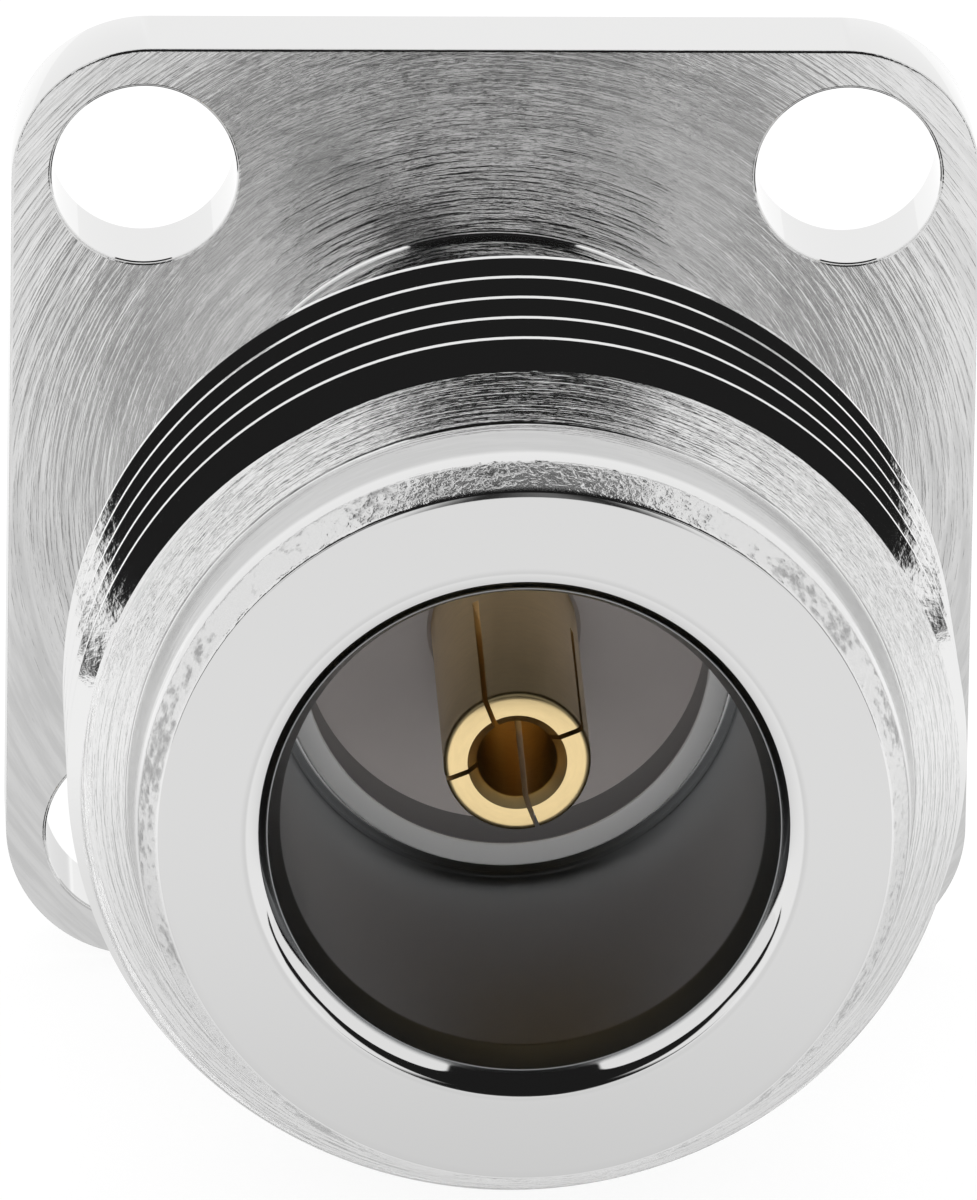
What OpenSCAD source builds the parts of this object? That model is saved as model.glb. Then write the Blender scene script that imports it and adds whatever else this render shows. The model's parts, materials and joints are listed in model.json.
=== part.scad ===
// Panel-mount coaxial jack with a square four-hole flange, a 5/8-24 coupling thread, a spring
// socket contact and a solder cup.
//
// Frame: the connector's axis lies along Y and passes through the origin. The flange's rear face,
// which seats on the panel, is the plane Y = 0. The nose points to -Y and the solder cup to +Y.
// Z is up. Every piece is turned about its own Z first, with z = 0 at the panel face and z growing
// towards the nose, and is then laid down along Y. Lengths are in millimetres.

/* [Flange] */
// Side of the square flange
flange_w = 17.5; // [16.5:0.1:20]
// Thickness of the flange
flange_t = 1.9; // [1.5:0.1:3]
// Radius of the flange's corners
flange_corner_r = 2.5; // [0.5:0.1:2.6]
// Distance of each screw hole's centre from the flange's edges
hole_inset = 2.4; // [2.2:0.05:2.8]
// Diameter of each screw hole
hole_d = 3.35; // [2.6:0.05:3.5]

/* [Neck, thread and nose] */
// Diameter of the neck that leaves room for the screw heads
neck_d = 10.4; // [10:0.1:11.2]
// Length of the neck
neck_len = 8.45; // [8:0.05:10]
// Major diameter of the coupling thread
thread_d = 15.875; // [15.6:0.005:16]
// Length of the thread, from the barrel's rear face to the lead chamfer
thread_len = 5.1; // [4.5:0.1:7]
// Number of threads to the inch
threads_per_inch = 24; // [20:1:28]
// Radial depth of the thread
thread_depth = 0.65; // [0.4:0.05:0.65]
// Width of the flat on each crest
crest_w = 0.13; // [0.1:0.01:0.2]
// Distance of the foremost full crest's middle behind the lead chamfer
crest_setback = 0.45; // [0.1:0.05:0.5]
// Diameter of the plain nose in front of the thread
nose_d = 13.75; // [13:0.05:14.2]
// Length of the nose, from the foot of the thread's lead chamfer to the front face
nose_len = 2.15; // [1.5:0.05:3]
// Radial width of the nose's edge chamfer
nose_chamfer_w = 0.45; // [0.1:0.05:0.6]
// Axial length of the nose's edge chamfer
nose_chamfer_len = 0.7; // [0.2:0.05:1]

/* [Bore] */
// Diameter of the mouth at the front face
mouth_d = 9.76; // [9.6:0.02:10.2]
// Diameter where the polished lip ends and the lead-in cone begins
lip_d = 9.1; // [8.8:0.02:9.4]
// Axial length of the lip
lip_len = 0.42; // [0.2:0.02:0.6]
// Axial length of the lead-in cone
lead_in_len = 0.46; // [0.2:0.02:0.8]
// Diameter of the bore that takes the plug's outer contact
bore_d = 8.5; // [8.3:0.05:8.7]
// Depth of the mating shoulder behind the front face
shoulder_depth = 9.1; // [8.8:0.05:9.4]
// Outer diameter of the mating shoulder
shoulder_d = 8.1; // [7.9:0.05:8.2]
// Depth of the relief groove around the shoulder
relief_depth = 0.25; // [0.1:0.05:0.5]
// Diameter of the air-line bore inside the shoulder
throat_d = 7.25; // [7:0.05:7.5]
// Length of the air-line bore, from the shoulder back to the front insulator
throat_len = 1.3; // [0.8:0.05:1.6]

/* [Insulators] */
// Diameter of both insulators and of the bore that holds them
bead_d = 8.2; // [7.8:0.1:8.6]
// Length of the rear insulator
rear_bead_len = 3.6; // [2.5:0.1:3.6]

/* [Centre contact] */
// Diameter of the contact's slotted barrel
contact_d = 2.6; // [2.4:0.05:3.04]
// Setback of the contact's tip behind the front face
tip_setback = 3.65; // [3:0.05:4.5]
// Radius taken off the tip's outer edge as a chamfer
tip_chamfer = 0.12; // [0.05:0.01:0.2]
// Diameter of the hole for the mating pin
pin_hole_d = 1.4; // [1.3:0.05:1.7]
// Depth of the hole for the mating pin
pin_hole_depth = 6.6; // [5.5:0.1:7.5]
// Diameter of the countersink at the contact's tip
countersink_d = 1.76; // [1.72:0.02:1.9]
// Depth of the countersink
countersink_depth = 0.35; // [0.1:0.05:0.5]
// Width of the two saw cuts that part the fingers
saw_w = 0.12; // [0.08:0.01:0.3]
// Depth of the saw cuts
saw_depth = 5; // [3:0.1:5.4]
// Turn of the saw cuts about the axis
saw_turn = 22; // [0:1:89]
// Distance of the first saw cut from the axis
first_saw_offset = 0.16; // [0:0.01:0.3]
// Distance of the second saw cut from the axis
second_saw_offset = 0.11; // [0:0.01:0.3]
// Diameter of the collar held between the insulators
collar_d = 4; // [3.4:0.1:5]
// Thickness of the collar
collar_t = 0.8; // [0.5:0.1:1]
// Diameter of the tail that carries the solder cup
tail_d = 2.2; // [2:0.1:2.6]
// Length of the tail behind the flange
tail_len = 3.6; // [2.5:0.1:6]
// Diameter of the solder cup's hole
cup_d = 1.6; // [1.2:0.1:1.7]
// Depth of the solder cup's hole
cup_depth = 2.4; // [1.5:0.1:2.4]
// Length over which the cup is open on its upper side
cup_window = 1.8; // [1:0.1:2]

/* [Hidden] */
$fn = 96;
// How far a cut runs past the face it opens
over = 1;

// Distance between neighbouring screw holes
hole_pitch = flange_w - 2 * hole_inset;

// Stations along the axis, counted from the panel face towards the nose
thread_z = flange_t + neck_len;
chamfer_z = thread_z + thread_len;
nose_z = chamfer_z + (thread_d - nose_d) / 2;
face_z = nose_z + nose_len;
shoulder_z = face_z - shoulder_depth;
bead_z = shoulder_z - throat_len;
tip_z = face_z - tip_setback;

// Thread section, with 60 degree flanks
thread_pitch = 25.4 / threads_per_inch;
groove_w = thread_pitch - crest_w;
groove_root_w = groove_w - 2 * thread_depth * tan(30);
// Middles of the grooves, the first of them in front of the foremost full crest
first_groove_z = chamfer_z - crest_setback + thread_pitch / 2;
groove_zs = [first_groove_z : -thread_pitch : thread_z - groove_w / 2];

// Lays a piece turned about Z down along Y, with its front towards -Y
module lay_down() {
    rotate([90, 0, 0]) children();
}

// A square with round corners, centred on the axis
module round_square(side, r) {
    inner = side - 2 * r;
    square([side, inner], center = true);
    square([inner, side], center = true);
    for (x = [-1, 1], y = [-1, 1])
        translate([x * inner / 2, y * inner / 2]) circle(r);
}

module flange_blank() {
    linear_extrude(flange_t) round_square(flange_w, flange_corner_r);
}

// Neck, barrel at the thread's major diameter with a 45 degree lead chamfer, and nose
module barrel_blank() {
    rotate_extrude() polygon([
        [0, 0],
        [neck_d / 2, 0],
        [neck_d / 2, thread_z],
        [thread_d / 2, thread_z],
        [thread_d / 2, chamfer_z],
        [nose_d / 2, nose_z],
        [nose_d / 2, face_z - nose_chamfer_len],
        [nose_d / 2 - nose_chamfer_w, face_z],
        [0, face_z],
    ]);
}

// The thread, as rings at its pitch: each groove has its true section but no lead
module thread_grooves() {
    for (z = groove_zs) rotate_extrude() polygon([
        [thread_d / 2 - thread_depth, z - groove_root_w / 2],
        [thread_d / 2, z - groove_w / 2],
        [thread_d / 2 + over, z - groove_w / 2],
        [thread_d / 2 + over, z + groove_w / 2],
        [thread_d / 2, z + groove_w / 2],
        [thread_d / 2 - thread_depth, z + groove_root_w / 2],
    ]);
}

// Everything bored out along the axis, from the panel face to the mouth
module axial_bore() {
    rotate_extrude() polygon([
        [0, -over],
        [bead_d / 2, -over],
        [bead_d / 2, bead_z],
        [throat_d / 2, bead_z],
        [throat_d / 2, shoulder_z],
        [shoulder_d / 2, shoulder_z],
        [shoulder_d / 2, shoulder_z - relief_depth],
        [bore_d / 2, shoulder_z - relief_depth],
        [bore_d / 2, face_z - lip_len - lead_in_len],
        [lip_d / 2, face_z - lip_len],
        [mouth_d / 2, face_z],
        [mouth_d / 2, face_z + over],
        [0, face_z + over],
    ]);
}

module screw_holes() {
    for (x = [-1, 1], y = [-1, 1])
        translate([x * hole_pitch / 2, y * hole_pitch / 2, -over])
            cylinder(h = flange_t + 2 * over, d = hole_d);
}

module body() {
    color("silver") lay_down() difference() {
        union() {
            flange_blank();
            barrel_blank();
        }
        thread_grooves();
        axial_bore();
        screw_holes();
    }
}

// Front bead, with a pocket at its back for the contact's collar
module front_insulator() {
    color("white") lay_down() difference() {
        translate([0, 0, rear_bead_len]) cylinder(h = bead_z - rear_bead_len, d = bead_d);
        cylinder(h = face_z, d = contact_d);
        translate([0, 0, rear_bead_len - over]) cylinder(h = collar_t + over, d = collar_d);
    }
}

module rear_insulator() {
    color("white") lay_down() difference() {
        cylinder(h = rear_bead_len, d = bead_d);
        translate([0, 0, -over]) cylinder(h = rear_bead_len + 2 * over, d = tail_d);
    }
}

// Solder cup, collar and barrel, turned as one piece
module contact_blank() {
    rotate_extrude() polygon([
        [0, -tail_len],
        [tail_d / 2, -tail_len],
        [tail_d / 2, rear_bead_len],
        [collar_d / 2, rear_bead_len],
        [collar_d / 2, rear_bead_len + collar_t],
        [contact_d / 2, rear_bead_len + collar_t],
        [contact_d / 2, tip_z - tip_chamfer],
        [contact_d / 2 - tip_chamfer, tip_z],
        [0, tip_z],
    ]);
}

module pin_hole() {
    rotate_extrude() polygon([
        [0, tip_z - pin_hole_depth],
        [pin_hole_d / 2, tip_z - pin_hole_depth],
        [pin_hole_d / 2, tip_z - countersink_depth],
        [countersink_d / 2, tip_z],
        [countersink_d / 2, tip_z + over],
        [0, tip_z + over],
    ]);
}

// Two straight cuts across the barrel, square to each other, each a little off the axis
module saw_cuts() {
    offsets = [first_saw_offset, second_saw_offset];
    for (i = [0, 1])
        rotate([0, 0, saw_turn + 90 * i])
            translate([-contact_d, offsets[i] - saw_w / 2, tip_z - saw_depth])
                cube([2 * contact_d, saw_w, saw_depth + over]);
}

// Hole of the solder cup and the window above it
module cup_cut() {
    translate([0, 0, -tail_len - over]) cylinder(h = cup_depth + over, d = cup_d);
    translate([-tail_d, 0, -tail_len - over]) cube([2 * tail_d, tail_d, cup_window + over]);
}

module centre_contact() {
    color("gold") lay_down() difference() {
        contact_blank();
        pin_hole();
        saw_cuts();
        cup_cut();
    }
}

body();
front_insulator();
rear_insulator();
centre_contact();
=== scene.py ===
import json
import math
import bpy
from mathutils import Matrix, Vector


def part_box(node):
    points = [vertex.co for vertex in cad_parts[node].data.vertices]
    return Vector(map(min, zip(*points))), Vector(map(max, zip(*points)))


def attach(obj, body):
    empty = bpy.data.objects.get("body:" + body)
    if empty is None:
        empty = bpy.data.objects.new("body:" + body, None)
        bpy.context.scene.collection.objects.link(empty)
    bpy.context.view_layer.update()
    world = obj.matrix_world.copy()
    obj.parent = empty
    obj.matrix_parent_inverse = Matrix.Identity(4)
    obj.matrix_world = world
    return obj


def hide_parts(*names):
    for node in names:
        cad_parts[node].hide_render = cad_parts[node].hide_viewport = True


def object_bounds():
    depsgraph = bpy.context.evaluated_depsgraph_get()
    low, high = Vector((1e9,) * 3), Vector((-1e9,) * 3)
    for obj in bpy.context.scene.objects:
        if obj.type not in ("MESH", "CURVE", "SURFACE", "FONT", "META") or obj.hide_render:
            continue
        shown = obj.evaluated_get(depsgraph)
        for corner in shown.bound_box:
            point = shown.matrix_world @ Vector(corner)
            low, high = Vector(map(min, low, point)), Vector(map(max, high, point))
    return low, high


bl_info = {
    "name": "Flange-Mount Coaxial Jack",
    "version": (1, 0, 0),
    "blender": (4, 5, 0),
    "location": "3D View > Sidebar > Coaxial Jack",
    "description": "Dresses the packed frame of a four-hole coaxial jack with its finished pieces",
    "category": "Add Mesh",
}

import bmesh
import bpy
from mathutils import Quaternion, Vector

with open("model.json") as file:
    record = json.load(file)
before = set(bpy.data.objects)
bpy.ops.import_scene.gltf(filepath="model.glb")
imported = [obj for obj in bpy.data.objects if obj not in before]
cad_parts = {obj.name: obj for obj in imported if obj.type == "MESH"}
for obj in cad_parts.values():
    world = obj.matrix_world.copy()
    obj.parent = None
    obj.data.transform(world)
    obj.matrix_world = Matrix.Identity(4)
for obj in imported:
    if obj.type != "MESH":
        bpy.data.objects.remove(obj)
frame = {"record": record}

MM = 0.001
MICRON = 1e-6

# The axis lies along Y. A station is a distance from the panel face towards the nose, so it is
# -Y, and every length below is in metres.
CAD_LOW, CAD_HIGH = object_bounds()
BODY_LOW, BODY_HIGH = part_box("body")
FRONT_BEAD_LOW, FRONT_BEAD_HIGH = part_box("front_insulator")
CONTACT_LOW, CONTACT_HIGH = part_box("centre_contact")
MOUNTS = {mount["name"]: mount for mount in frame["record"]["mounts"]}

FLANGE_SIDE = BODY_HIGH.x - BODY_LOW.x
FACE_STATION = -BODY_LOW.y
BEAD_RADIUS = FRONT_BEAD_HIGH.x
FRONT_BEAD_STATION = -FRONT_BEAD_LOW.y
REAR_BEAD_STATION = -FRONT_BEAD_HIGH.y
TIP_STATION = -CONTACT_LOW.y
TAIL_STATION = -CONTACT_HIGH.y
COLLAR_RADIUS = CONTACT_HIGH.x
HOLE_PITCH = MOUNTS["screw_holes"]["dims"]["spacing_x_mm"] * MM
HOLE_RADIUS = MOUNTS["screw_holes"]["dims"]["hole_r_mm"] * MM
THREAD_RADIUS = MOUNTS["coupling_thread"]["dims"]["r_mm"] * MM
CREST_SPAN = MOUNTS["coupling_thread"]["dims"]["length_mm"] * MM
CREST_MIDDLE = -MOUNTS["coupling_thread"]["pos_m"][1]
PIN_HOLE_RADIUS = MOUNTS["pin_socket"]["dims"]["r_mm"] * MM
CUP_RADIUS = MOUNTS["solder_cup"]["dims"]["r_mm"] * MM
CUP_DEPTH = MOUNTS["solder_cup"]["dims"]["length_mm"] * MM

# How far a cutting tool runs past the face it opens
OVER = 1 * MM
# The break on small turned edges
EDGE = 0.04 * MM
# Points round the shell, and round the beads and the contact: multiples of 4, so that one lies on
# each axis
TURN_STEPS = 192
INSIDE_STEPS = 128
# How squarely a face has to look along the axis to be an end face
END_FACE = 0.9
# Edges that turn by more than this stay sharp
SHARP_ANGLE = math.radians(35)
# How far the light tent's middle lies to the right of straight ahead, as a sine
TENT_LEAN = 0.02


def length(name, description, default):
    return bpy.props.FloatProperty(
        name=name, description=description, default=default, unit="LENGTH", subtype="DISTANCE"
    )


def turn_angle(name, description, default):
    return bpy.props.FloatProperty(
        name=name, description=description, default=default, unit="ROTATION", subtype="ANGLE"
    )


def tint(name, description, default):
    return bpy.props.FloatVectorProperty(
        name=name, description=description, default=default, subtype="COLOR", size=3, min=0, max=1
    )


def share(name, description, default):
    return bpy.props.FloatProperty(
        name=name, description=description, default=default, subtype="FACTOR", min=0, max=1
    )


class JackShellSettings(bpy.types.PropertyGroup):
    flange_thickness: length("Flange thickness", "Thickness of the square flange", 1.9 * MM)
    corner_radius: length("Corner radius", "Radius of the flange's four corners", 2.5 * MM)
    edge_break: length("Edge break", "Rounding of the flange's outer edges", 0.06 * MM)
    neck_radius: length("Neck radius", "Radius of the neck behind the thread", 5.2 * MM)
    neck_length: length("Neck length", "Length of the neck", 8.45 * MM)
    thread_length: length("Thread length", "Length of the thread behind its chamfer", 5.1 * MM)
    thread_pitch: length("Thread pitch", "Distance between neighbouring crests", 25.4 / 24 * MM)
    thread_depth: length("Thread depth", "Radial depth of the thread groove", 0.649 * MM)
    crest_width: length("Crest width", "Width of the flat on each crest", 0.13 * MM)
    nose_radius: length("Nose radius", "Radius of the plain nose at its foot", 6.92 * MM)
    nose_tip_radius: length("Nose tip radius", "Radius of the nose at its edge chamfer", 6.79 * MM)
    nose_length: length("Nose length", "Length of the plain nose", 2.15 * MM)
    chamfer_length: length("Edge chamfer length", "Length of the nose's edge chamfer", 0.7 * MM)
    face_radius: length("Face radius", "Outer radius of the flat front face", 6.43 * MM)
    rim_radius: length("Rim radius", "Radius where the face rolls into the lip", 4.95 * MM)
    lip_rounding: length("Lip rounding", "Radius of the roll from face to lip", 0.42 * MM)
    lip_radius: length("Lip radius", "Radius where the polished lip ends", 4.51 * MM)
    lip_length: length("Lip length", "Length of the polished lip", 0.3 * MM)
    ledge_width: length("Ledge width", "Width of the bright ledge behind the lip", 0.02 * MM)
    lead_in_length: length("Lead-in length", "Length of the cone behind the lip", 0.58 * MM)
    bore_radius: length("Bore radius", "Radius of the bore for the outer contact", 4.25 * MM)
    shoulder_depth: length("Shoulder depth", "Depth of the mating shoulder", 9.1 * MM)
    shoulder_radius: length("Shoulder radius", "Outer radius of the mating shoulder", 4.05 * MM)
    relief_depth: length("Relief depth", "Depth of the groove around the shoulder", 0.25 * MM)
    throat_radius: length("Throat radius", "Radius of the air-line bore", 3.625 * MM)
    nickel: tint("Nickel", "Colour of the bright nickel plate", (0.80, 0.799, 0.797))


class JackInsulatorSettings(bpy.types.PropertyGroup):
    edge_break: length("Edge break", "Rounding of the beads' edges", 0.08 * MM)
    # Painted shade: the resin is set darker than white fluorocarbon, for the shade deep in the bore
    resin: tint("Resin", "Colour of the white fluorocarbon beads", (0.62, 0.572, 0.555))


class JackContactSettings(bpy.types.PropertyGroup):
    barrel_radius: length("Barrel radius", "Radius of the slotted barrel", 1.3 * MM)
    countersink_radius: length("Countersink radius", "Radius of the countersink", 0.88 * MM)
    countersink_depth: length("Countersink depth", "Depth of the countersink", 0.2 * MM)
    pin_hole_depth: length("Pin hole depth", "Depth of the hole for the mating pin", 6.6 * MM)
    slot_depth: length("Slot depth", "Depth of the saw cuts between the fingers", 5.0 * MM)
    slot_tip_width: length("Slot width at the tip", "Width left where the fingers close", 0.09 * MM)
    slot_root_width: length("Slot width at the root", "Width of the saw cut", 0.12 * MM)
    slot_turn: turn_angle("Slot turn", "Turn of the saw cuts about the axis", math.radians(22))
    first_slot_offset: length("First slot offset", "Distance of one cut from the axis", 0.16 * MM)
    second_slot_offset: length("Second slot offset", "Distance of the other cut", 0.11 * MM)
    collar_thickness: length("Collar thickness", "Thickness of the collar", 0.8 * MM)
    tail_radius: length("Tail radius", "Radius of the tail with the solder cup", 1.1 * MM)
    cup_window: length("Cup window", "Length over which the cup is open", 1.8 * MM)
    gold: tint("Gold", "Colour of the gold plate", (0.93, 0.72, 0.38))


class JackStageSettings(bpy.types.PropertyGroup):
    azimuth: turn_angle("Azimuth", "Camera's turn about the upright", math.radians(-2.323))
    elevation: turn_angle("Elevation", "Camera's height above the horizon", math.radians(20.331))
    roll: turn_angle("Roll", "Camera's turn about its own line of sight", math.radians(0.902))
    distance: length("Distance", "Camera's distance from the jack's middle", 419.4 * MM)
    lens: bpy.props.FloatProperty(
        name="Lens", description="Focal length of the camera in millimetres", default=706.4, min=1
    )
    floor: tint("Floor", "Colour of the floor", (0.9, 0.9, 0.9))
    wall_level: bpy.props.FloatProperty(
        name="Wall level", description="Brightness of the light tent's walls", default=1.0, min=0
    )
    fill: bpy.props.FloatProperty(
        name="Fill", description="Extra light from in front, on matt surfaces", default=2.2, min=0
    )
    gap: share("Gap", "Half the gap between the soft boxes, as a share of their distance", 0.38)


# ---------------------------------------------------------------------------------------------
# Modelling


def rest_hands():
    """Leaves edit mode and lets go of everything, so the next operator acts on its own piece."""
    if bpy.context.object is not None and bpy.context.object.mode != "OBJECT":
        bpy.ops.object.mode_set(mode="OBJECT")
    bpy.ops.object.select_all(action="DESELECT")


def take(piece):
    rest_hands()
    piece.select_set(True)
    bpy.context.view_layer.objects.active = piece


def start_piece(name):
    """Names the primitive just added, puts its place into its mesh and opens it for editing."""
    piece = bpy.context.object
    piece.name = piece.data.name = name
    bpy.ops.object.transform_apply(location=True, rotation=True, scale=True)
    bpy.ops.object.mode_set(mode="EDIT")
    return piece


def select_faces(piece, wanted):
    mesh = bmesh.from_edit_mesh(piece.data)
    mesh.normal_update()
    for part in (*mesh.verts, *mesh.edges, *mesh.faces):
        part.select = False
    for face in mesh.faces:
        if wanted(face):
            face.select_set(True)
    bmesh.update_edit_mesh(piece.data)


def select_edges(piece, wanted):
    mesh = bmesh.from_edit_mesh(piece.data)
    for part in (*mesh.verts, *mesh.edges, *mesh.faces):
        part.select = False
    for edge in mesh.edges:
        if wanted(*(vertex.co for vertex in edge.verts)):
            edge.select_set(True)
    bmesh.update_edit_mesh(piece.data)


def close_piece(piece):
    """Turns every face of a closed shell outwards and leaves edit mode."""
    bpy.ops.mesh.select_all(action="SELECT")
    bpy.ops.mesh.normals_make_consistent(inside=False)
    bpy.ops.object.mode_set(mode="OBJECT")
    return piece


def rounded(corners, steps=3):
    """A turned profile from its corners, each (radius, station) or (radius, station, rounding)."""
    profile = []
    for number, (radius, station, *rounding) in enumerate(corners):
        here = Vector((radius, station, 0))
        if not rounding:
            profile.append((radius, station))
            continue
        before = (Vector((*corners[number - 1][:2], 0)) - here).normalized()
        after = (Vector((*corners[number + 1][:2], 0)) - here).normalized()
        half = before.angle(after) / 2
        reach = rounding[0] / math.tan(half)
        centre = here + (before + after).normalized() * rounding[0] / math.sin(half)
        first = (here + before * reach - centre).normalized()
        last = (here + after * reach - centre).normalized()
        for step in range(steps + 1):
            point = centre + first.slerp(last, step / steps) * rounding[0]
            profile.append((point.x, point.y))
    return profile


def turn(name, profile, steps=TURN_STEPS):
    """A solid turned on the axis: a disc at the first station, drawn out through the others."""
    rest_hands()
    radius, station = profile[0]
    bpy.ops.mesh.primitive_circle_add(
        vertices=steps,
        radius=radius,
        fill_type="NGON",
        location=(0, -station, 0),
        rotation=(math.pi / 2, 0, 0),
    )
    piece = start_piece(name)
    bpy.ops.mesh.select_all(action="SELECT")
    for next_radius, next_station in profile[1:]:
        bpy.ops.mesh.extrude_region_move(
            TRANSFORM_OT_translate={"value": (0, station - next_station, 0)}
        )
        grow = next_radius / radius
        bpy.ops.transform.resize(value=(grow, 1, grow), center_override=(0, -next_station, 0))
        radius, station = next_radius, next_station
    return close_piece(piece)


def combine(piece, tool, operation="DIFFERENCE"):
    """Cuts a tool out of a solid, or joins it on, and throws the tool away."""
    take(piece)
    bpy.ops.object.modifier_add(type="BOOLEAN")
    modifier = piece.modifiers[-1]
    modifier.operation = operation
    modifier.solver = "EXACT"
    modifier.object = tool
    bpy.ops.object.modifier_apply(modifier=modifier.name)
    take(tool)
    bpy.ops.object.delete()


def move_mesh(piece, shift):
    take(piece)
    bpy.ops.object.mode_set(mode="EDIT")
    bpy.ops.mesh.select_all(action="SELECT")
    bpy.ops.transform.translate(value=shift)
    bpy.ops.object.mode_set(mode="OBJECT")


def copy_of(piece):
    take(piece)
    bpy.ops.object.duplicate(linked=False)
    return bpy.context.object


def dress(piece, nodes, material):
    """Closes and smooths a finished solid between its sharp edges and ties it to the frame."""
    take(piece)
    bpy.ops.object.mode_set(mode="EDIT")
    bpy.ops.mesh.select_all(action="SELECT")
    bpy.ops.mesh.remove_doubles(threshold=0.5 * MICRON)
    bpy.ops.mesh.fill_holes(sides=4)
    bpy.ops.mesh.select_all(action="SELECT")
    bpy.ops.mesh.normals_make_consistent(inside=False)
    bpy.ops.object.mode_set(mode="OBJECT")
    bpy.ops.object.shade_smooth_by_angle(angle=SHARP_ANGLE)
    bpy.ops.object.modifier_add(type="WEIGHTED_NORMAL")
    piece.modifiers[-1].keep_sharp = True
    bpy.ops.object.modifier_apply(modifier=piece.modifiers[-1].name)
    piece.data.materials.clear()
    piece.data.materials.append(material)
    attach(piece, "root")
    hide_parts(*nodes)


# ---------------------------------------------------------------------------------------------
# Shell


def flange_plate(shell):
    """The square plate: a cube with its corners rounded and its edges broken."""
    rest_hands()
    thickness = shell.flange_thickness
    bpy.ops.mesh.primitive_cube_add(
        size=1, location=(0, -thickness / 2, 0), scale=(FLANGE_SIDE, thickness, FLANGE_SIDE)
    )
    plate = start_piece("flange")
    select_edges(plate, lambda a, b: abs(a.y - b.y) > thickness / 2)
    bpy.ops.mesh.bevel(offset=shell.corner_radius, segments=24, affect="EDGES")
    select_faces(plate, lambda face: abs(face.normal.y) > END_FACE)
    bpy.ops.mesh.region_to_loop()
    bpy.ops.mesh.bevel(offset=shell.edge_break, segments=3, affect="EDGES")
    return close_piece(plate)


def screw_hole(shell):
    """The tool for one screw hole, flared where it leaves the plate."""
    reach = shell.edge_break + OVER
    return turn(
        "screw_hole",
        [
            (HOLE_RADIUS + reach, -OVER),
            (HOLE_RADIUS, shell.edge_break),
            (HOLE_RADIUS, shell.flange_thickness - shell.edge_break),
            (HOLE_RADIUS + reach, shell.flange_thickness + OVER),
        ],
        steps=96,
    )


def barrel_blank(shell):
    """Neck, thread at its major diameter, lead chamfer and nose, rooted inside the flange."""
    thread_start = shell.flange_thickness + shell.neck_length
    chamfer_start = thread_start + shell.thread_length
    nose_start = FACE_STATION - shell.nose_length
    nose_end = FACE_STATION - shell.chamfer_length
    seat = shell.flange_thickness - 0.02 * MM
    foot = 0.2 * MM
    neck_fillet = 0.15 * MM
    nose_fillet = 0.35 * MM
    bevel_rounding = 0.55 * MM
    face_rounding = 0.06 * MM
    # Two more rings keep the flat face's own shading clear of its edges
    outer_ring = shell.face_radius - 0.15 * MM
    inner_ring = shell.rim_radius + 0.1 * MM
    return turn(
        "barrel",
        rounded(
            [
                (shell.neck_radius + foot, shell.flange_thickness / 2),
                (shell.neck_radius + foot, seat),
                (shell.neck_radius, seat, foot * 0.99),
                (shell.neck_radius, thread_start, neck_fillet),
                (THREAD_RADIUS, thread_start, EDGE),
                (THREAD_RADIUS, chamfer_start),
                (shell.nose_radius, nose_start, nose_fillet),
                (shell.nose_tip_radius, nose_end, bevel_rounding),
                (shell.face_radius, FACE_STATION, face_rounding),
                (outer_ring, FACE_STATION),
                (inner_ring, FACE_STATION),
                (shell.lip_radius, FACE_STATION),
            ]
        ),
    )


def axial_bore(shell):
    """The tool for everything bored out along the axis, from the panel face to the mouth."""
    shoulder = FACE_STATION - shell.shoulder_depth
    relief = shoulder - shell.relief_depth
    lip_start = FACE_STATION - shell.lip_length
    bore_end = lip_start - shell.lead_in_length
    ledge_rise = 0.002 * MM
    ring_rounding = 0.05 * MM
    lead_in_fillet = 0.3 * MM
    inside = rounded(
        [
            (BEAD_RADIUS + EDGE + OVER, -OVER),
            (BEAD_RADIUS, EDGE),
            (BEAD_RADIUS, FRONT_BEAD_STATION),
            (shell.throat_radius, FRONT_BEAD_STATION),
            (shell.throat_radius, shoulder, EDGE),
            (shell.shoulder_radius, shoulder, ring_rounding),
            (shell.shoulder_radius, relief),
            (shell.bore_radius, relief),
            (shell.bore_radius, bore_end, lead_in_fillet),
            (shell.lip_radius - shell.ledge_width, lip_start),
            (shell.lip_radius, lip_start + ledge_rise),
        ]
    )
    # The lip rolls into the face, and the tool leaves it at the roll's last slope
    slopes = [math.radians(slope) for slope in (49, 42, 36, 30, 24, 18, 12, 7, 3)]
    roll = [
        (
            shell.rim_radius - shell.lip_rounding * math.sin(slope),
            FACE_STATION - shell.lip_rounding * (1 - math.cos(slope)),
        )
        for slope in slopes
    ]
    radius, station = roll[-1]
    roll.append((radius + OVER, station + OVER * math.tan(slopes[-1])))
    return turn("bore", inside + roll)


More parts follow.
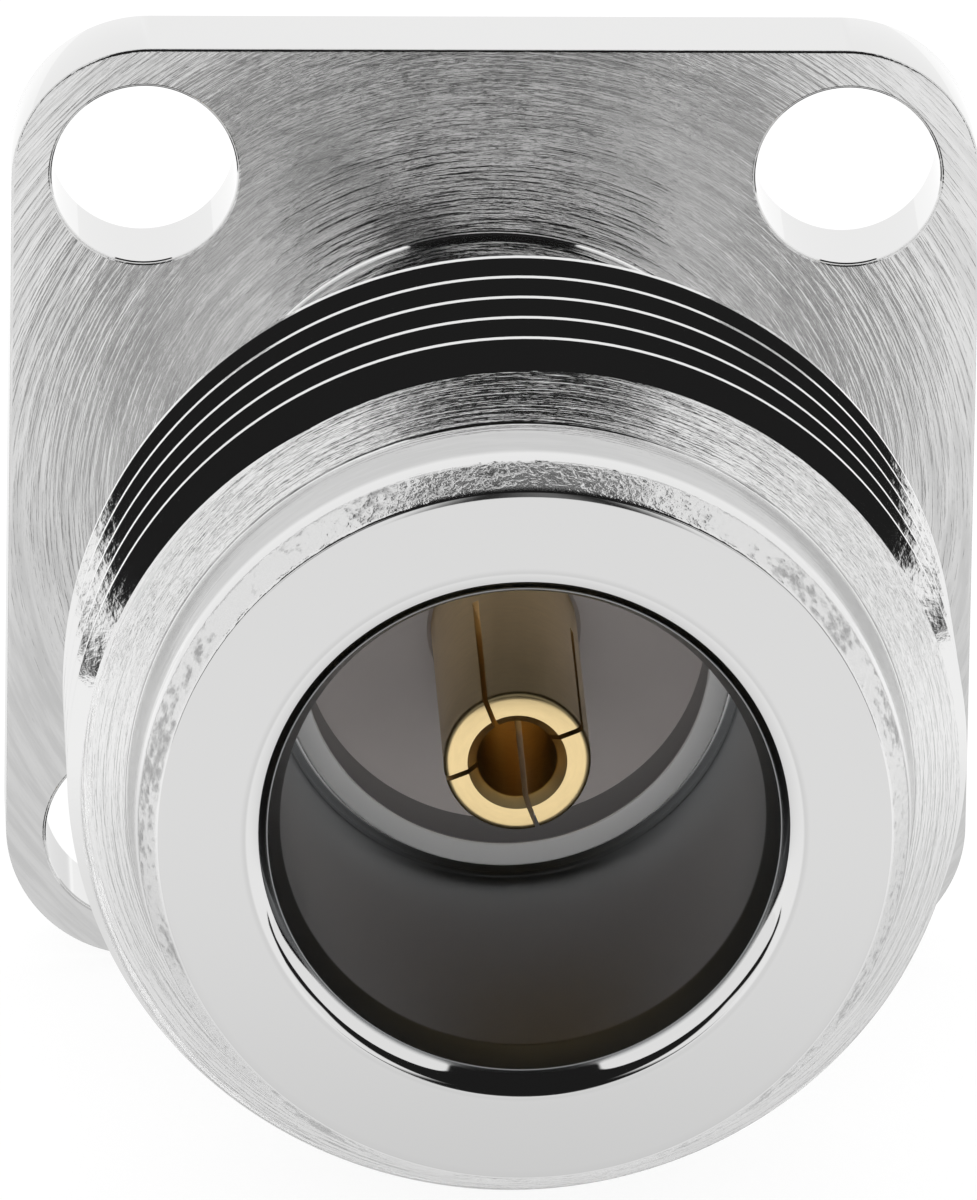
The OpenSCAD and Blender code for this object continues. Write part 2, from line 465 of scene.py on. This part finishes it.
def thread_groove(shell):
    """The tool for the thread: a V section, swept down the barrel as a right-hand helix."""
    rest_hands()
    pitch = shell.thread_pitch
    root = THREAD_RADIUS - shell.thread_depth
    middle = root + shell.thread_depth / 2
    flank_angle = math.radians(30)
    open_width = pitch - shell.crest_width
    root_width = open_width - 2 * shell.thread_depth * math.tan(flank_angle)
    # The foremost crest crosses the top of the barrel where the frame's rings end, and the groove
    # in front of it crosses the right side a quarter turn on. The tool starts further forward
    foremost_crest = CREST_MIDDLE + (CREST_SPAN - shell.crest_width) / 2
    clear_turns = 2
    start = foremost_crest + pitch / 4 + clear_turns * pitch
    thread_start = shell.flange_thickness + shell.neck_length
    turns = math.ceil((start - thread_start) / pitch) + 1
    bpy.ops.mesh.primitive_plane_add(size=1, location=(middle, -start, 0))
    bpy.context.object.scale = (shell.thread_depth, open_width, 1)
    groove = start_piece("groove")
    narrow = root_width / open_width
    select_edges(groove, lambda a, b: a.x < middle and b.x < middle)
    bpy.ops.transform.resize(value=(1, narrow, 1), center_override=(root, -start, 0))
    select_edges(groove, lambda a, b: a.x > middle and b.x > middle)
    bpy.ops.mesh.extrude_region_move(TRANSFORM_OT_translate={"value": (OVER / 2, 0, 0)})
    bpy.ops.mesh.select_all(action="SELECT")
    bpy.ops.mesh.dissolve_limited(angle_limit=math.radians(1))
    bpy.ops.mesh.select_all(action="SELECT")
    bpy.ops.mesh.delete(type="ONLY_FACE")
    bpy.ops.object.mode_set(mode="OBJECT")
    bpy.ops.object.modifier_add(type="SCREW")
    screw = groove.modifiers[-1]
    screw.axis = "Y"
    screw.angle = math.tau
    screw.screw_offset = pitch
    screw.iterations = turns
    screw.steps = screw.render_steps = TURN_STEPS
    bpy.ops.object.modifier_apply(modifier=screw.name)
    bpy.ops.object.mode_set(mode="EDIT")
    bpy.ops.mesh.select_all(action="SELECT")
    bpy.ops.mesh.fill_holes(sides=0)
    return close_piece(groove)


class JACK_OT_add_shell(bpy.types.Operator):
    """Adds the flange, neck, threaded barrel and nose, machined as one piece"""

    bl_idname = "jack.add_shell"
    bl_label = "Add Shell"

    def execute(self, context):
        shell = context.scene.jack_shell
        barrel = barrel_blank(shell)
        combine(barrel, thread_groove(shell))
        plate = flange_plate(shell)
        hole = screw_hole(shell)
        for x in (-1, 1):
            for z in (-1, 1):
                tool = copy_of(hole)
                move_mesh(tool, (x * HOLE_PITCH / 2, 0, z * HOLE_PITCH / 2))
                combine(plate, tool)
        take(hole)
        bpy.ops.object.delete()
        combine(plate, barrel, "UNION")
        combine(plate, axial_bore(shell))
        plate.name = plate.data.name = "shell"
        dress(plate, ["body"], turned_nickel(shell))
        return {"FINISHED"}


# ---------------------------------------------------------------------------------------------
# Insulators


class JACK_OT_add_insulators(bpy.types.Operator):
    """Adds the two white beads that hold the centre contact"""

    bl_idname = "jack.add_insulators"
    bl_label = "Add Insulators"

    def execute(self, context):
        beads = context.scene.jack_insulators
        contact = context.scene.jack_contact
        edge = beads.edge_break
        resin = white_resin(beads)
        for name, node, back, front, hole in (
            (
                "front_bead",
                "front_insulator",
                REAR_BEAD_STATION,
                FRONT_BEAD_STATION,
                contact.barrel_radius,
            ),
            ("rear_bead", "rear_insulator", 0, REAR_BEAD_STATION, contact.tail_radius),
        ):
            bead = turn(
                name,
                rounded(
                    [
                        (hole, back),
                        (BEAD_RADIUS, back, edge),
                        (BEAD_RADIUS, front, edge),
                        (hole, front),
                    ]
                ),
                steps=INSIDE_STEPS,
            )
            through = turn(
                "through",
                [
                    (hole + edge + OVER, back - OVER),
                    (hole, back + edge),
                    (hole, front - edge),
                    (hole + edge + OVER, front + OVER),
                ],
                steps=INSIDE_STEPS,
            )
            combine(bead, through)
            if name == "front_bead":
                pocket = turn(
                    "pocket",
                    [
                        (COLLAR_RADIUS, back - OVER),
                        (COLLAR_RADIUS, back + contact.collar_thickness),
                    ],
                    steps=INSIDE_STEPS,
                )
                combine(bead, pocket)
            dress(bead, [node], resin)
        return {"FINISHED"}


# ---------------------------------------------------------------------------------------------
# Centre contact


def saw_cut(contact, turn_by, offset):
    """The tool for one saw cut across the barrel, narrower at the tip where the fingers close."""
    rest_hands()
    reach = contact.slot_depth
    bpy.ops.mesh.primitive_cube_add(
        size=1,
        location=(0, -(TIP_STATION - reach / 2), 0),
        scale=(4 * contact.barrel_radius, reach, contact.slot_root_width),
    )
    cut = start_piece("saw_cut")
    tip = -TIP_STATION
    narrow = contact.slot_tip_width / contact.slot_root_width
    select_faces(cut, lambda face: face.normal.y < -END_FACE)
    bpy.ops.transform.resize(value=(1, 1, narrow), center_override=(0, tip, 0))
    bpy.ops.mesh.extrude_region_move(TRANSFORM_OT_translate={"value": (0, -OVER, 0)})
    bpy.ops.mesh.select_all(action="SELECT")
    bpy.ops.transform.translate(value=(0, 0, offset))
    # Seen from the nose, a turn from right to up, which is against the sense about +Y
    bpy.ops.transform.rotate(value=turn_by, orient_axis="Y", center_override=(0, 0, 0))
    return close_piece(cut)


class JACK_OT_add_contact(bpy.types.Operator):
    """Adds the gold-plated centre contact with its spring fingers and solder cup"""

    bl_idname = "jack.add_contact"
    bl_label = "Add Centre Contact"

    def execute(self, context):
        contact = context.scene.jack_contact
        steps = INSIDE_STEPS
        cup_chamfer = 0.05 * MM
        tip_rounding = 0.12 * MM
        sink_rounding = 0.1 * MM
        collar_end = REAR_BEAD_STATION + contact.collar_thickness
        piece = turn(
            "contact",
            rounded(
                [
                    (contact.tail_radius - cup_chamfer, TAIL_STATION),
                    (contact.tail_radius, TAIL_STATION + cup_chamfer),
                    (contact.tail_radius, REAR_BEAD_STATION),
                    (COLLAR_RADIUS, REAR_BEAD_STATION, EDGE),
                    (COLLAR_RADIUS, collar_end, EDGE),
                    (contact.barrel_radius, collar_end),
                    (contact.barrel_radius, TIP_STATION, tip_rounding),
                    (contact.countersink_radius, TIP_STATION),
                ],
                steps=4,
            ),
            steps,
        )
        bottom = TIP_STATION - contact.pin_hole_depth
        sink = TIP_STATION - contact.countersink_depth
        flare = (contact.countersink_radius - PIN_HOLE_RADIUS) / contact.countersink_depth
        pin_hole = turn(
            "pin_hole",
            rounded(
                [
                    (PIN_HOLE_RADIUS, bottom),
                    (PIN_HOLE_RADIUS, sink, sink_rounding),
                    (contact.countersink_radius + flare * OVER, TIP_STATION + OVER),
                ]
            ),
            steps,
        )
        combine(piece, pin_hole)
        cup = turn(
            "cup",
            [(CUP_RADIUS, TAIL_STATION - OVER), (CUP_RADIUS, TAIL_STATION + CUP_DEPTH)],
            steps,
        )
        combine(piece, cup)
        rest_hands()
        bpy.ops.mesh.primitive_cube_add(
            size=1,
            location=(0, -(TAIL_STATION + (contact.cup_window - OVER) / 2), OVER),
            scale=(4 * contact.tail_radius, contact.cup_window + OVER, 2 * OVER),
        )
        window = start_piece("window")
        combine(piece, close_piece(window))
        square_to_it = contact.slot_turn + math.pi / 2
        combine(piece, saw_cut(contact, contact.slot_turn, contact.first_slot_offset))
        combine(piece, saw_cut(contact, square_to_it, contact.second_slot_offset))
        # Every sharp edge is broken
        take(piece)
        bpy.ops.object.modifier_add(type="BEVEL")
        bevel = piece.modifiers[-1]
        bevel.width = 0.018 * MM
        bevel.segments = 2
        bevel.limit_method = "ANGLE"
        bevel.angle_limit = math.radians(50)
        bpy.ops.object.modifier_apply(modifier=bevel.name)
        dress(piece, ["centre_contact"], gold_plate(contact))
        return {"FINISHED"}


# ---------------------------------------------------------------------------------------------
# Finishes


class Value:
    """A node's output that can be reckoned with: an expression on it adds its Math nodes."""

    def __init__(self, output):
        self.output = output

    def reckon(self, operation, *values):
        tree = self.output.id_data
        node = tree.nodes.new("ShaderNodeMath")
        node.operation = operation
        for socket, value in zip(node.inputs, values):
            if isinstance(value, Value):
                tree.links.new(value.output, socket)
            else:
                socket.default_value = value
        return Value(node.outputs[0])

    def __add__(self, other):
        return self.reckon("ADD", self, other)

    def __radd__(self, other):
        return self.reckon("ADD", other, self)

    def __sub__(self, other):
        return self.reckon("SUBTRACT", self, other)

    def __rsub__(self, other):
        return self.reckon("SUBTRACT", other, self)

    def __mul__(self, other):
        return self.reckon("MULTIPLY", self, other)

    def __rmul__(self, other):
        return self.reckon("MULTIPLY", other, self)

    def __truediv__(self, other):
        return self.reckon("DIVIDE", self, other)

    def __pow__(self, other):
        return self.reckon("POWER", self, other)

    def __abs__(self):
        return self.reckon("ABSOLUTE", self)

    def most(self, other):
        return self.reckon("MAXIMUM", self, other)


class Nodes:
    """Adds nodes to one tree: the settings first, then the sockets, each by its shown name."""

    def __init__(self, tree):
        self.tree = tree
        tree.nodes.clear()

    def add(self, kind, settings=None, **sockets):
        node = self.tree.nodes.new(kind)
        for name, value in (settings or {}).items():
            setattr(node, name, value)
        for name, value in sockets.items():
            wanted = name.replace("_", " ")
            socket = next(s for s in node.inputs if s.enabled and s.name == wanted)
            if isinstance(value, Value):
                self.tree.links.new(value.output, socket)
            else:
                socket.default_value = value
        return node

    def value(self, kind, settings=None, give=None, **sockets):
        node = self.add(kind, settings, **sockets)
        shown = [s for s in node.outputs if s.enabled]
        return Value(next((s for s in shown if s.name == give), shown[0]))

    def coordinates(self, kind):
        place = self.value("ShaderNodeTexCoord", give=kind)
        parts = self.add("ShaderNodeSeparateXYZ", Vector=place)
        return [Value(output) for output in parts.outputs]

    def position(self):
        """Place on the object in millimetres: x, y, z and the distance from the axis."""
        x, y, z = (part * (1 / MM) for part in self.coordinates("Object"))
        return x, y, z, (x * x + z * z) ** 0.5

    def rays(self, *kinds):
        """For each kind of ray a value that is 1 for it and 0 for every other."""
        shown = self.add("ShaderNodeLightPath").outputs
        return [Value(shown[f"Is {kind} Ray"]) for kind in kinds]

    def noise(self, x, y, z, detail, roughness=0.5):
        return self.value(
            "ShaderNodeTexNoise",
            {"noise_dimensions": "3D"},
            give="Fac",
            Vector=self.value("ShaderNodeCombineXYZ", X=x, Y=y, Z=z),
            Scale=1.0,
            Detail=detail,
            Roughness=roughness,
        )

    def tool_marks(self, place, across, stretch, fineness, detail, roughness=0.5):
        """Noise drawn out round the axis, and fine along a value that runs across the marks."""
        x, _, z, radius = place
        return self.noise(
            x / radius * stretch, across * fineness, z / radius * stretch, detail, roughness
        )

    def ramp(self, value, low, high, to_low=0.0, to_high=1.0):
        """Eases from one number to another while the value goes from low to high."""
        return self.value(
            "ShaderNodeMapRange",
            {"interpolation_type": "SMOOTHSTEP"},
            Value=value,
            From_Min=low,
            From_Max=high,
            To_Min=to_low,
            To_Max=to_high,
        )

    def fall(self, value, low, high):
        """Eases from 1 down to 0 while the value goes from low to high."""
        return self.ramp(value, low, high, 1.0, 0.0)

    def near(self, value, place, full, end):
        """1 where the value lies within one distance of a place, and 0 past another."""
        return self.fall(abs(value - place), full, end)

    def mix(self, factor, first, second):
        return self.value("ShaderNodeMix", {"data_type": "RGBA"}, Factor=factor, A=first, B=second)

    def blend(self, factor, first, second):
        """A share of one shader over another; both inputs of the mix have one name."""
        shader = self.add("ShaderNodeMixShader", Fac=factor)
        self.tree.links.new(first.output, shader.inputs[1])
        self.tree.links.new(second.output, shader.inputs[2])
        return Value(shader.outputs[0])

    def surface(self, shader):
        self.add("ShaderNodeOutputMaterial", Surface=shader)


def new_finish(name):
    material = bpy.data.materials.new(name)
    material.use_nodes = True
    return material, Nodes(material.node_tree)


def shade(colour, by=1.0):
    return (*(part * by for part in colour), 1.0)


def turned_nickel(shell):
    """Bright nickel over turned brass: tool rings on the flange and the lead cone, a pitted band
    round the nose, a polished lip and a dull bore. Shade is painted into the colour in the bore, on
    the face, round the middle of the nose and in the corner at the nose's foot."""
    material, nodes = new_finish("turned nickel")
    place = nodes.position()
    x, y, z, radius = place
    station = -1 * y
    flange, cone, nose, chamfer, face, shoulder = (
        part / MM
        for part in (
            shell.flange_thickness,
            shell.flange_thickness + shell.neck_length + shell.thread_length,
            FACE_STATION - shell.nose_length,
            FACE_STATION - shell.chamfer_length,
            FACE_STATION,
            FACE_STATION - shell.shoulder_depth,
        )
    )
    rim, lip, ring, throat, crest = (
        part / MM
        for part in (
            shell.rim_radius,
            shell.lip_radius,
            shell.shoulder_radius,
            shell.throat_radius,
            THREAD_RADIUS,
        )
    )
    # Where each finish lies, from 0 to 1
    outside = nodes.ramp(radius, 6.2, 6.3)
    on_flange = nodes.near(station, flange, 0.02, 0.04).most(nodes.fall(station, 0.01, 0.03))
    on_flange = on_flange * nodes.ramp(radius, 7, 10.5, 1.0, 0.7)
    on_thread = nodes.ramp(station, cone - shell.thread_length / MM, cone - 5)
    on_thread = on_thread * nodes.fall(station, cone + 0.4, cone + 0.5)
    on_thread = on_thread * nodes.ramp(radius, crest - 0.94, crest - 0.74)
    on_cone = nodes.ramp(station, cone, cone + 0.06) * nodes.fall(station, nose, nose + 0.1)
    on_cone = on_cone * outside
    on_nose = nodes.ramp(station, nose, nose + 0.1) * nodes.fall(station, face - 0.1, face)
    on_nose = on_nose * outside
    mid_nose = nodes.ramp(station, nose + 0.12, nose + 0.3) * outside
    mid_nose = mid_nose * nodes.fall(station, chamfer - 0.35, chamfer - 0.15)
    on_chamfer = nodes.ramp(station, chamfer + 0.04, chamfer + 0.12) * on_nose
    on_face = nodes.ramp(station, face - 0.01, face - 0.002)
    on_rim = nodes.fall(radius, rim - 0.05, rim + 0.05)
    on_rim = on_rim * nodes.ramp(station, face - 0.3, face - 0.2)
    on_shoulder = nodes.near(station, shoulder, 0.02, 0.05)
    in_bore = nodes.ramp(radius, ring + 0.03, ring + 0.09)
    in_bore = in_bore * nodes.fall(radius, lip - 0.01, lip + 0.07)
    in_bore = in_bore * nodes.ramp(station, shoulder - 0.36, shoulder - 0.26)
    in_throat = nodes.fall(radius, throat + 0.035, throat + 0.075)
    in_throat = in_throat * nodes.fall(station, shoulder - 0.08, shoulder - 0.03)
    in_bore = in_bore.most(in_throat)

    # Marks run round the axis, on flat faces as on turned ones
    across = radius - station * 0.7
    rings = nodes.tool_marks(place, across, stretch=5, fineness=6, detail=4, roughness=0.6)
    lines = nodes.tool_marks(place, across, stretch=3, fineness=20, detail=1)
    specks = nodes.noise(x * 5, y * 6, z * 5, detail=3, roughness=0.55)
    clusters = nodes.noise(x * 0.7, y * 0.7, z * 0.7, detail=1)
    pits = nodes.ramp(specks + clusters, 1.0, 1.35) * on_chamfer
    # A ragged burr where the cone meets the thread
    burr = nodes.near(station + (rings - 0.5) * 0.2, cone + 0.06, 0.02, 0.05) * outside
    # Painted shade: a dark line in the corner at the nose's foot
    painted_corner_shade = nodes.near(station, nose + 0.03, 0.01, 0.03) * outside

    # How much of the plate's colour is left after tool marks, pits and painted shade, and how
    # high, how rough and how metallic it is
    light = 1 - (1 - nodes.ramp(rings, 0.35, 0.65, 0.72, 0.88)) * (on_flange + mid_nose * 0.3)
    light = light * (1 - 0.5 * pits) * (1 - 0.4 * painted_corner_shade) * (1 - 0.12 * on_chamfer)
    # Painted shade: the flat face and the middle of the nose are set darker in place of dimmer
    # reflections, and the rim a little darker too
    light = light * (1 - 0.18 * on_face) * (1 - 0.22 * mid_nose) * (1 - 0.1 * on_rim)
    # Painted shade: the bore and the throat take a dark grey in place of the nickel, for the shade
    # deep inside them
    black, painted_bore_shade = (0, 0, 0, 1), (0.25, 0.255, 0.26, 1)
    colour = nodes.mix(in_bore, nodes.mix(light, black, shade(shell.nickel)), painted_bore_shade)
    height = rings * (on_flange * 0.38 + on_cone * 1.4 + on_nose * 0.07)
    height = height + lines * (on_flange * 0.15 + on_cone * 0.6 + on_nose * 0.05)
    height = height + specks * (on_chamfer + on_thread * 0.05) - pits * 0.8
    bump = nodes.value("ShaderNodeBump", Strength=1.0, Distance=0.05 * MM, Height=height)
    rough = 0.04 + 0.1 * on_flange + 0.16 * on_cone + 0.014 * on_nose + 0.14 * on_chamfer
    nodes.surface(
        nodes.value(
            "ShaderNodeBsdfPrincipled",
            Base_Color=colour,
            Metallic=1 - 0.7 * on_shoulder - 0.15 * on_chamfer - 0.6 * burr,
            Roughness=rough + 0.25 * in_bore + 0.4 * on_shoulder,
            Normal=bump,
        )
    )
    return material


def white_resin(beads):
    """White fluorocarbon resin, faintly mottled and waxy. Its colour is set darker than white, as
    painted shade for the bead deep in the bore.
    """
    material, nodes = new_finish("white resin")
    x, y, z, _ = nodes.position()
    mottle = nodes.noise(x, y, z, detail=3)
    colour = nodes.mix(mottle, shade(beads.resin, 0.94), shade(beads.resin, 1.04))
    nodes.surface(nodes.value("ShaderNodeBsdfPrincipled", Base_Color=colour, Roughness=0.45))
    return material


def gold_plate(contact):
    """Gold plate over a turned contact, with faint tool rings round the axis."""
    material, nodes = new_finish("gold plate")
    place = nodes.position()
    _, y, _, radius = place
    rings = nodes.tool_marks(place, radius + y * 0.8, stretch=4, fineness=12, detail=3)
    colour = nodes.mix(rings, shade(contact.gold, 0.9), shade(contact.gold, 1.05))
    bump = nodes.value("ShaderNodeBump", Strength=0.2, Distance=0.01 * MM, Height=rings)
    nodes.surface(
        nodes.value(
            "ShaderNodeBsdfPrincipled",
            Base_Color=colour,
            Metallic=1.0,
            Roughness=0.3,
            Normal=bump,
        )
    )
    return material


# ---------------------------------------------------------------------------------------------
# Stage


def white_card(nodes, side):
    """1 where a white card stands, on each side of the way ahead; side is the sine of the angle
    from straight ahead."""
    return nodes.ramp(side, 0.16, 0.26) * nodes.fall(side, 0.6, 0.66)


def floor_finish(stage):
    """A pale floor that keeps the jack's shadow and shows white to the camera. Metal mirrors it
    as white too, but not past the table's front edge, where the studio is dark."""
    material, nodes = new_finish("pale floor")
    x, y, _, _ = nodes.position()
    camera, mirrored, through = nodes.rays("Camera", "Glossy", "Transmission")
    reach = ((x * x + y * y) ** 0.5).most(1)
    side = abs(x / reach - TENT_LEAN)
    beyond = nodes.ramp(reach, 90, 110) * nodes.fall(side, 0.79, 0.82)
    beyond = beyond * (1 - white_card(nodes, side))
    # Nearly straight ahead the dark comes nearer
    ahead = abs(x / reach - 0.04)
    ahead = nodes.fall(ahead, 0.03, 0.08) * nodes.ramp(ahead, 0.0, 0.03, 0.85, 1.0)
    beyond = beyond.most(ahead * nodes.ramp(reach, 64, 68)) * nodes.ramp(-1 * y, 0, 1)
    # The jack's own shadow dims what it mirrors of the table round its foot
    dimmed = (beyond * 0.97).most(nodes.ramp(reach, 12, 45, 0.22, 0.0))
    matt = nodes.value("ShaderNodeBsdfDiffuse", Color=shade(stage.floor))
    glow = 1.07 * (1 - dimmed * mirrored)
    white = nodes.value("ShaderNodeEmission", Color=(1, 1, 1, 1), Strength=glow)
    # A share of the matt floor stays in the camera's white, and with it the jack's shadow
    plain_white = (camera * 0.8).most(mirrored).most(through)
    nodes.surface(nodes.blend(plain_white, matt, white))
    material.cycles.emission_sampling = "NONE"
    return material


def light_tent(stage):
    """White walls and two soft boxes overhead. Metal mirrors the dark gap between the boxes, which
    widens in front; matt surfaces are lit from all round, and most from in front."""
    world = bpy.data.worlds.new("light tent")
    bpy.context.scene.world = world
    world.use_nodes = True
    world.cycles.sampling_method = "NONE"
    nodes = Nodes(world.node_tree)
    x, y, z = nodes.coordinates("Generated")
    side = abs(x - TENT_LEAN)
    half_gap = nodes.ramp(z, 0.15, 0.9, 0.81, stage.gap)
    gap = nodes.fall(side - half_gap, -0.01, 0.01) * nodes.fall(y, 0.38, 0.46)
    # The cards are low and stand in front
    card = white_card(nodes, side) * nodes.fall(z, 0.18, 0.24) * nodes.fall(y, -0.1, 0)
    gap = gap * (1 - card)
    camera, mirrored = nodes.rays("Camera", "Glossy")
    fill = nodes.ramp(-1 * y, 0.75, 0.95) * (1 - mirrored.most(camera))
    level = stage.wall_level * (1 - 0.985 * gap * mirrored + stage.fill * fill)
    background = nodes.value("ShaderNodeBackground", Color=(1, 1, 1, 1), Strength=level)
    nodes.add("ShaderNodeOutputWorld", Surface=background)


class JACK_OT_add_stage(bpy.types.Operator):
    """Adds the floor, the light tent and the camera"""

    bl_idname = "jack.add_stage"
    bl_label = "Add Stage"

    def execute(self, context):
        stage = context.scene.jack_stage
        rest_hands()
        bpy.ops.mesh.primitive_plane_add(size=2, location=(0, 0, CAD_LOW.z))
        floor = bpy.context.object
        floor.name = "floor"
        bpy.ops.object.transform_apply(location=True, rotation=True, scale=True)
        floor.data.materials.append(floor_finish(stage))
        light_tent(stage)

        back = Vector(
            (
                math.sin(stage.azimuth) * math.cos(stage.elevation),
                -math.cos(stage.azimuth) * math.cos(stage.elevation),
                math.sin(stage.elevation),
            )
        )
        turn_to = (-back).to_track_quat("-Z", "Y") @ Quaternion((0, 0, 1), stage.roll)
        # The line of sight passes a little above and beside the middle of the barrel
        middle = Vector((0, -9.9 * MM, 0))
        beside_it = turn_to @ Vector((-0.33 * MM, 1.08 * MM, 0))
        bpy.ops.object.camera_add(location=middle + beside_it + back * stage.distance)
        camera = bpy.context.object
        camera.rotation_mode = "QUATERNION"
        camera.rotation_quaternion = turn_to
        camera.data.lens = stage.lens
        camera.data.clip_start = 10 * MM
        context.scene.camera = camera
        context.scene.view_settings.view_transform = "Standard"
        return {"FINISHED"}


# ---------------------------------------------------------------------------------------------
# Sidebar and registration


class JACK_PT_sidebar(bpy.types.Panel):
    """Lists the jack's settings and the buttons that build it"""

    bl_label = "Coaxial Jack"
    bl_space_type = "VIEW_3D"
    bl_region_type = "UI"
    bl_category = "Coaxial Jack"

    def draw(self, context):
        for operator, group in BUILD:
            box = self.layout.box()
            box.operator(operator.bl_idname)
            settings = getattr(context.scene, group)
            for name in settings.bl_rna.properties.keys():
                if name not in ("rna_type", "name"):
                    box.prop(settings, name)


SETTINGS = {
    "jack_shell": JackShellSettings,
    "jack_insulators": JackInsulatorSettings,
    "jack_contact": JackContactSettings,
    "jack_stage": JackStageSettings,
}
BUILD = (
    (JACK_OT_add_stage, "jack_stage"),
    (JACK_OT_add_shell, "jack_shell"),
    (JACK_OT_add_insulators, "jack_insulators"),
    (JACK_OT_add_contact, "jack_contact"),
)
CLASSES = (*SETTINGS.values(), *(operator for operator, _ in BUILD), JACK_PT_sidebar)


def register():
    for part in CLASSES:
        bpy.utils.register_class(part)
    for name, group in SETTINGS.items():
        setattr(bpy.types.Scene, name, bpy.props.PointerProperty(type=group))


def unregister():
    for name in SETTINGS:
        delattr(bpy.types.Scene, name)
    for part in reversed(CLASSES):
        bpy.utils.unregister_class(part)


def main():
    register()
    bpy.ops.jack.add_stage()
    bpy.ops.jack.add_shell()
    bpy.ops.jack.add_insulators()
    bpy.ops.jack.add_contact()


if __name__ == "__main__":
    main()
